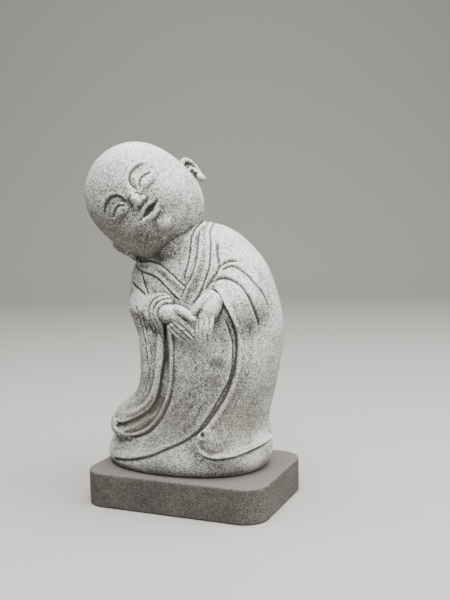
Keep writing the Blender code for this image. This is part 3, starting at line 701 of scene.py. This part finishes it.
def thinned(obj, triangles):
    """The object with its stair-steps smoothed away and about so many triangles."""
    soften(obj, FINISH_STEPS)
    thin = obj.modifiers.new("thin", "DECIMATE")
    thin.ratio = triangles / sum(len(face.vertices) - 2 for face in obj.data.polygons)
    return applied(obj)


def united(obj, others):
    """The object and the others as one solid."""
    for other in others:
        join = obj.modifiers.new("join", "BOOLEAN")
        join.operation = "UNION"
        join.solver = "EXACT"
        join.object = other
    solid = applied(obj)
    for other in others:
        bpy.data.objects.remove(other)
    return solid


def figure():
    """The whole cast figure with its fine surface, standing on the plinth."""
    robed = thinned(carve_robe(robe()), ROBE_TRIANGLES)
    robed.name = "monk_statue"
    hands_pair = thinned(merged("hands", hands(), HANDS_VOXEL), HANDS_TRIANGLES)
    obj = united(robed, [hands_pair, *posed_head()])
    mesh = bmesh.new()
    mesh.from_mesh(obj.data)
    everything = mesh.verts[:] + mesh.edges[:] + mesh.faces[:]
    bmesh.ops.bisect_plane(
        mesh, geom=everything, plane_co=(0, 0, 0), plane_no=(0, 0, 1), dist=1e-6, clear_inner=True
    )
    bmesh.ops.holes_fill(mesh, edges=[edge for edge in mesh.edges if edge.is_boundary], sides=0)
    bmesh.ops.triangulate(mesh, faces=mesh.faces)
    bmesh.ops.translate(mesh, vec=(0, 0, MONK_LOW.z), verts=mesh.verts)
    mesh.to_mesh(obj.data)
    mesh.free()
    obj.data.shade_smooth()
    mark_raised(obj.data, rounds=4, reach=0.0004)
    # How enclosed each point is, which the material paints as shade in hollows and between parts
    mark_enclosed(obj.data, reach=0.022, rays=14)
    return obj


def plinth():
    """The low block under the figure, with round corners and worn edges."""
    size = PLINTH_HIGH - PLINTH_LOW
    mesh = bmesh.new()
    bmesh.ops.create_cube(mesh, size=1.0)
    bmesh.ops.transform(mesh, matrix=Matrix.Diagonal((*size, 1.0)), verts=mesh.verts)
    upright = [e for e in mesh.edges if abs(e.verts[0].co.z - e.verts[1].co.z) > 0.5 * size.z]
    bmesh.ops.bevel(mesh, geom=upright, offset=PLINTH_CORNER, segments=16, profile=0.5, affect="EDGES")
    level = [e for e in mesh.edges if abs(e.verts[0].co.z - e.verts[1].co.z) < 0.5 * size.z]
    bmesh.ops.bevel(mesh, geom=level, offset=PLINTH_EDGE, segments=3, profile=0.5, affect="EDGES")
    bmesh.ops.translate(mesh, vec=(PLINTH_LOW + PLINTH_HIGH) / 2, verts=mesh.verts)
    obj = merged("plinth_block", [add_object("plinth_block", mesh)], PLINTH_VOXEL)
    soften(obj, PLINTH_STEPS)
    obj = applied(obj)
    obj.data.shade_smooth()
    mark_raised(obj.data, rounds=12, reach=0.0012)
    return obj


class Nodes:
    """A material's or a group's nodes: each call adds one and fills its inputs with values or links."""

    def __init__(self, tree):
        self.tree = tree

    def add(self, kind, inputs=(), **settings):
        node = self.tree.nodes.new("ShaderNode" + kind)
        for name, value in settings.items():
            setattr(node, name, value)
        for name, value in dict(inputs).items():
            if isinstance(value, bpy.types.NodeSocket):
                self.tree.links.new(value, node.inputs[name])
            else:
                node.inputs[name].default_value = value
        return node

    def math(self, operation, a, b):
        return self.add("Math", {0: a, 1: b}, operation=operation).outputs[0]

    def times(self, a, b):
        return self.math("MULTIPLY", a, b)

    def plus(self, a, b):
        return self.math("ADD", a, b)

    def mix(self, share, a, b):
        """A colour between two others."""
        return self.add("Mix", {0: share, 6: a, 7: b}, data_type="RGBA").outputs[2]

    def span(self, value, low, high):
        """0 where the value is low, 1 where it is high, and a soft rise between."""
        inputs = {"Value": value, "From Min": low, "From Max": high}
        return self.add("MapRange", inputs, interpolation_type="SMOOTHSTEP").outputs[0]

    def noise(self, place, scale, detail, roughness):
        inputs = {"Vector": place, "Scale": scale, "Detail": detail, "Roughness": roughness}
        return self.add("TexNoise", inputs).outputs[0]


class Group(Nodes):
    """A node group of its own with named sockets: what it is given, and what it gives back."""

    def __init__(self, name, inputs, outputs):
        super().__init__(bpy.data.node_groups.new(name, "ShaderNodeTree"))
        for title, kind in inputs:
            self.tree.interface.new_socket(title, in_out="INPUT", socket_type="NodeSocket" + kind)
        for title in outputs:
            self.tree.interface.new_socket(title, in_out="OUTPUT", socket_type="NodeSocketFloat")
        self.given = self.tree.nodes.new("NodeGroupInput").outputs
        self.back = self.tree.nodes.new("NodeGroupOutput").inputs

    def give(self, title, value):
        self.tree.links.new(value, self.back[title])


def grain_group():
    """The stone's grain: pale specks over a share of it, dark pits, and the small height of both."""
    inputs = (("Place", "Vector"), ("Size", "Float"), ("Pale Share", "Float"))
    group = Group("stone_grain", inputs, ("Pale Specks", "Dark Pits", "Height"))
    place = group.given["Place"]
    scale = group.math("DIVIDE", 1.0, group.given["Size"])
    fine = group.noise(place, scale, 3.0, 0.7)
    coarse = group.noise(place, group.times(scale, 0.31), 2.0, 0.5)
    mixed = group.plus(group.times(fine, 0.85), group.times(coarse, 0.15))
    paler = group.times(group.math("SUBTRACT", group.given["Pale Share"], 0.5), 0.08)
    cells = group.add("TexVoronoi", {"Vector": place, "Scale": group.times(scale, 0.4)})
    pit = group.span(cells.outputs["Distance"], 0.22, 0.08)
    group.give("Pale Specks", group.span(group.plus(mixed, paler), 0.49, 0.545))
    group.give("Dark Pits", group.math("MAXIMUM", group.span(mixed, 0.475, 0.425), pit))
    group.give("Height", group.math("SUBTRACT", mixed, group.times(pit, 0.4)))
    return group.tree


def weathering_and_painted_light_group():
    """What weathering and brushing leave on the stone, with painted light and shade: where it is pale and
    dusty, partly painted top light; painted shade on surfaces that face down; and dirty grooves, with painted
    shade where the figure encloses a point.
    """
    titles = ("Raised", "Enclosed", "Upward", "Cloud", "Raised Strength", "Dust And Top Light")
    inputs = [(title, "Float") for title in titles]
    group = Group("stone_weathering_and_painted_light", inputs, ("Pale Share", "Dust And Top Light", "Underside Shade", "Dirt And Shade"))
    raised, enclosed, upward, cloud, raised_strength, dust_and_top_light = [group.given[title] for title in titles]
    # Painted shade where the figure encloses a point
    hollow = group.span(enclosed, 0.32, 0.90)
    groove = group.span(raised, -0.20, -0.80)
    brushing_and_painted_light = group.plus(group.times(cloud, 1.3), -0.25)
    brushing_and_painted_light = group.plus(brushing_and_painted_light, group.times(raised, raised_strength))
    # Paler where the surface faces up: partly weathering, partly painted top light
    brushing_and_painted_light = group.plus(brushing_and_painted_light, group.times(upward, 0.40))
    # Less pale where the figure encloses a point: painted shade
    brushing_and_painted_light = group.plus(brushing_and_painted_light, group.times(hollow, -0.30))
    group.give("Pale Share", group.span(brushing_and_painted_light, 0.0, 1.0))
    # Paler dusty tops, and painted top light
    group.give("Dust And Top Light", group.times(group.span(upward, 0.45, 0.95), dust_and_top_light))
    # Painted shade, darker and olive, on surfaces that face down
    group.give("Underside Shade", group.times(group.span(upward, 0.10, -0.75), 0.55))
    # Dirty grooves, and painted shade where the figure encloses a point
    group.give("Dirt And Shade", group.math("MAXIMUM", group.times(groove, 0.8), group.times(hollow, 0.65)))
    return group.tree


def stone(name, groups, size, colours, bump_height, raised_strength, dust_and_top_light, patches=()):
    """Cast stone: pale specks over darker grain, weathered, and stained in places, with painted light and
    shade: partly painted paler tops, painted darker undersides and hollows, and painted shadows and
    highlights among the stains.
    """
    material = bpy.data.materials.new(name)
    material.use_nodes = True
    tree = material.node_tree
    nodes = Nodes(tree)
    shader = tree.nodes["Principled BSDF"]
    grain_tree, weathering_and_painted_light_tree = groups
    where = nodes.add("TexCoord")
    place = where.outputs["Object"]
    cloud = nodes.noise(place, 22.0, 4.0, 0.6)
    weather_and_painted_light = nodes.add("Group", {
        "Raised": nodes.add("Attribute", attribute_name="raised").outputs["Fac"],
        "Enclosed": nodes.add("Attribute", attribute_name="enclosed").outputs["Fac"],
        "Upward": nodes.add("SeparateXYZ", {0: where.outputs["Normal"]}).outputs["Z"],
        "Cloud": cloud,
        "Raised Strength": raised_strength,
        "Dust And Top Light": dust_and_top_light,
    }, node_tree=weathering_and_painted_light_tree).outputs
    grain = nodes.add("Group", {
        "Place": place,
        "Size": size,
        "Pale Share": weather_and_painted_light["Pale Share"],
    }, node_tree=grain_tree).outputs
    dark, middle, pale, dirt_and_shade, underside_shade = [(*c, 1.0) for c in (*colours, DIRT_AND_SHADE, UNDERSIDE_SHADE)]
    colour = nodes.mix(weather_and_painted_light["Pale Share"], dark, middle)
    colour = nodes.mix(grain["Pale Specks"], colour, pale)
    colour = nodes.mix(nodes.times(grain["Dark Pits"], 0.9), colour, dark)
    # Paler dusty tops, and painted top light
    colour = nodes.mix(weather_and_painted_light["Dust And Top Light"], colour, pale)
    # Painted shade on surfaces that face down
    colour = nodes.mix(weather_and_painted_light["Underside Shade"], colour, underside_shade)
    # Dirty grooves, and painted shade where the figure encloses a point
    colour = nodes.mix(weather_and_painted_light["Dirt And Shade"], colour, dirt_and_shade)
    # Stains, painted shadows and painted highlights
    for centre, reach, tint, strength in patches:
        apart = nodes.add("VectorMath", {0: place, 1: centre}, operation="DISTANCE").outputs["Value"]
        ragged = nodes.plus(apart, nodes.times(cloud, reach))
        near = nodes.span(ragged, 1.5 * reach, 0.6 * reach)
        colour = nodes.mix(nodes.times(near, strength), colour, (*tint, 1.0))
    tree.links.new(colour, shader.inputs["Base Color"])
    rough = nodes.add("MapRange", {"Value": grain["Height"], "To Min": 0.95, "To Max": 0.75}).outputs[0]
    tree.links.new(rough, shader.inputs["Roughness"])
    shader.inputs["Specular IOR Level"].default_value = 0.35
    relief = nodes.add("Bump", {"Height": grain["Height"], "Strength": 0.8, "Distance": bump_height})
    tree.links.new(relief.outputs[0], shader.inputs["Normal"])
    return material


def floor():
    """A plain pale sweep under and behind the figure."""
    profile = [(FLOOR_NEAR, 0.0), (FLOOR_FAR, 0.0)]
    for step in range(1, FLOOR_BEND_STEPS + 1):
        angle = math.radians(90 * step / FLOOR_BEND_STEPS)
        profile.append((FLOOR_FAR + FLOOR_BEND * math.sin(angle), FLOOR_BEND * (1 - math.cos(angle))))
    profile.append((FLOOR_FAR + FLOOR_BEND, FLOOR_TOP))
    mesh = bmesh.new()
    rows = [[mesh.verts.new((x, y, z)) for x in (-FLOOR_WIDTH / 2, FLOOR_WIDTH / 2)] for y, z in profile]
    for low, high in zip(rows, rows[1:]):
        mesh.faces.new((low[0], low[1], high[1], high[0]))
    sweep = add_object("floor", mesh)
    sweep.rotation_euler.z = math.radians(FLOOR_TURN)
    sweep.data.shade_smooth()
    paint = bpy.data.materials.new("pale_floor")
    paint.use_nodes = True
    shader = paint.node_tree.nodes["Principled BSDF"]
    shader.inputs["Base Color"].default_value = (*FLOOR_COLOUR, 1.0)
    shader.inputs["Roughness"].default_value = 0.9
    sweep.data.materials.append(paint)


def lights():
    """Soft light from above and from the side, and a faint sky all round."""
    world = bpy.data.worlds.new("studio")
    bpy.context.scene.world = world
    world.use_nodes = True
    sky = world.node_tree.nodes["Background"]
    sky.inputs["Color"].default_value = (*SKY_COLOUR, 1.0)
    sky.inputs["Strength"].default_value = SKY_STRENGTH
    for name, place, size, power in LIGHTS:
        light = bpy.data.lights.new(name, "AREA")
        light.size = size
        light.energy = power
        lamp = bpy.data.objects.new(name, light)
        lamp.location = place
        lamp.rotation_mode = "QUATERNION"
        lamp.rotation_quaternion = (Vector(LIGHT_AIM) - lamp.location).to_track_quat("-Z", "Y")
        bpy.context.scene.collection.objects.link(lamp)


def camera():
    """The photograph's own viewing angle."""
    data = bpy.data.cameras.new("camera")
    data.sensor_fit = "VERTICAL"
    data.sensor_height = SENSOR_HEIGHT
    data.lens = CAMERA_LENS
    view = bpy.data.objects.new("camera", data)
    ahead = Vector(CAMERA_AHEAD).normalized()
    right = ahead.cross(Vector(CAMERA_UP)).normalized()
    turn = Matrix((right, right.cross(ahead), -ahead)).transposed().to_4x4()
    view.matrix_world = Matrix.Translation(CAMERA_PLACE) @ turn
    bpy.context.scene.collection.objects.link(view)
    bpy.context.scene.camera = view


def main():
    """The figure on its plinth, each with its stone, in a plain studio."""
    groups = grain_group(), weathering_and_painted_light_group()
    monk = figure()
    monk.data.materials.append(stone(
        "brushed_cast_stone", groups, size=0.0012, colours=BRUSHED_COLOURS, bump_height=0.0005,
        raised_strength=0.4, dust_and_top_light=0.15, patches=STAINS_AND_PAINTED_LIGHT,
    ))
    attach(monk, "root")
    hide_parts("monk")
    block = plinth()
    # The plinth's strong dusting is also painted top light on its top
    block.data.materials.append(stone(
        "dark_cast_stone", groups, size=0.0016, colours=DARK_COLOURS, bump_height=0.0002,
        raised_strength=0.3, dust_and_top_light=1.0,
    ))
    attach(block, "root")
    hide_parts("plinth")
    floor()
    lights()
    camera()


main()
